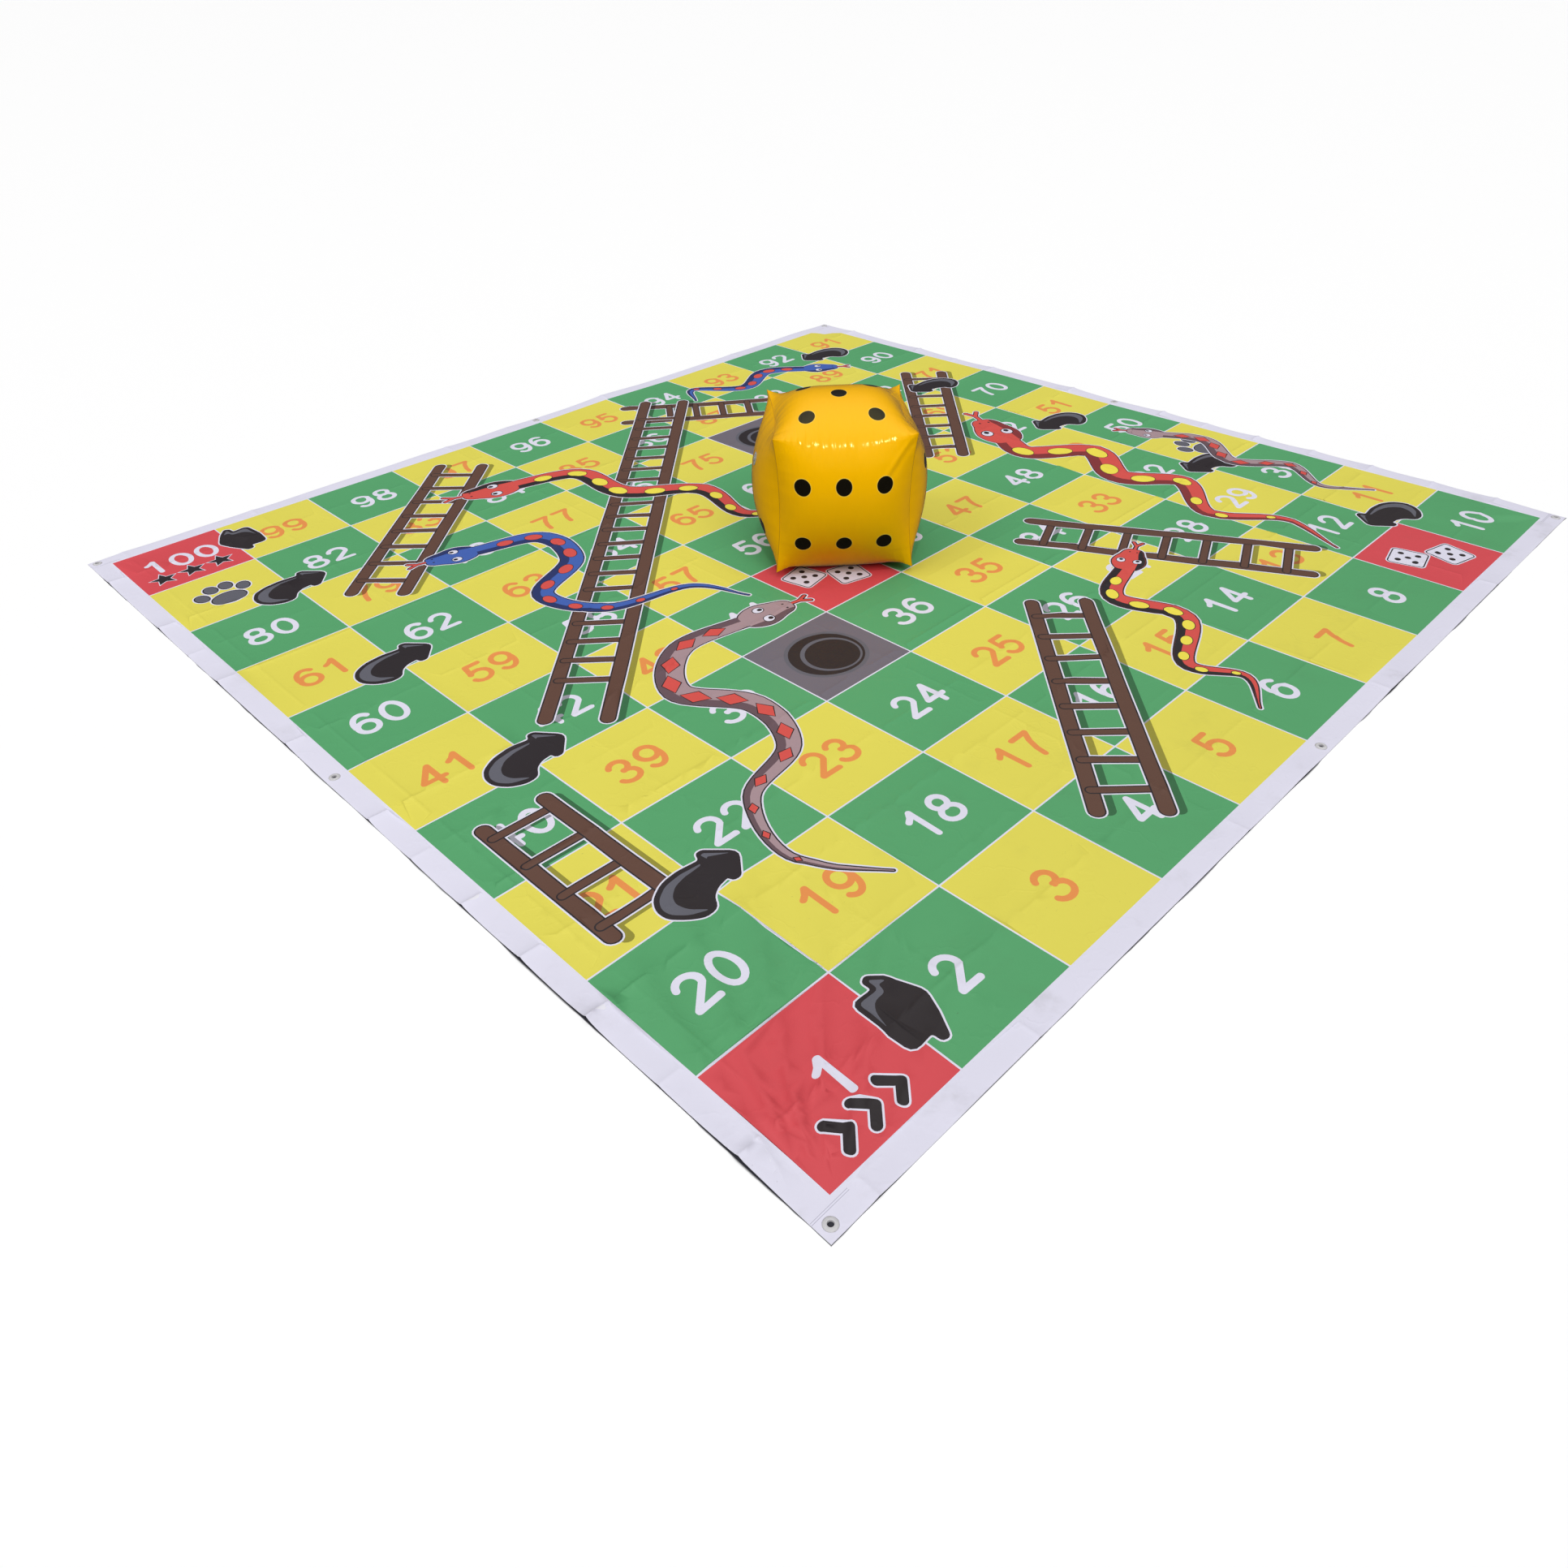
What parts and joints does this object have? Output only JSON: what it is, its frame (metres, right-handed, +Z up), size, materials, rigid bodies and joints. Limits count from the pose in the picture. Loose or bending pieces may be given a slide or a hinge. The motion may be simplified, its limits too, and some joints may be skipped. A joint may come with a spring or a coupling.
{
  "type": "floor mat board game with inflatable die",
  "caption": "Giant snakes and ladders floor mat of printed banner sheet with hems and snap eyelets, and a bulged inflatable die with a plugged valve standing on it.",
  "frame": {"origin": "on the floor under the middle of the mat", "axes": "+X along the bottom row of squares from the first to the tenth, +Y from the bottom row to the top row, +Z up"},
  "size_m": [2.98, 2.85, 0.4314],
  "materials": {
    "printed_pvc": "satin print",
    "white_pvc": "satin",
    "eyelet_plastic": "translucent moulded",
    "die_film": "gloss film",
    "valve_pvc": "clear moulded"
  },
  "bodies": {
    "mat": {"mat_sheet": "printed_pvc", "hem_front": "white_pvc", "hem_right": "white_pvc", "hem_back": "white_pvc", "hem_left": "white_pvc", "eyelet_ring_front_left": "eyelet_plastic", "eyelet_ring_front_mid": "eyelet_plastic", "eyelet_ring_front_right": "eyelet_plastic", "eyelet_ring_right_mid": "eyelet_plastic", "eyelet_ring_back_right": "eyelet_plastic", "eyelet_ring_back_mid": "eyelet_plastic", "eyelet_ring_back_left": "eyelet_plastic", "eyelet_ring_left_mid": "eyelet_plastic", "eyelet_lock_front_left": "eyelet_plastic", "eyelet_lock_front_mid": "eyelet_plastic", "eyelet_lock_front_right": "eyelet_plastic", "eyelet_lock_right_mid": "eyelet_plastic", "eyelet_lock_back_right": "eyelet_plastic", "eyelet_lock_back_mid": "eyelet_plastic", "eyelet_lock_back_left": "eyelet_plastic", "eyelet_lock_left_mid": "eyelet_plastic"},
    "die": {"die_band": "die_film", "die_panel_left": "die_film", "die_panel_right": "die_film", "valve_stem": "valve_pvc", "valve_strap": "valve_pvc"},
    "plug": {"valve_plug": "valve_pvc"},
    "flap": {"valve_flap": "valve_pvc"}
  },
  "joints": [
    {"name": "die_lift", "type": "slide", "parent": "mat", "child": "die", "axis": [0, 0, 1], "range_m": [0, 0.6]},
    {"name": "plug_pull", "type": "slide", "parent": "die", "child": "plug", "axis": [-0.7716, 0.5867, 0.2457], "range_m": [0, 0.014]},
    {"name": "flap_swing", "type": "hinge", "parent": "die", "child": "flap", "pos_m": [-0.17464, 0.05929, 0.27726], "axis": [-0.636, -0.7063, -0.3108], "range_deg": [0, 60]}
  ]
}
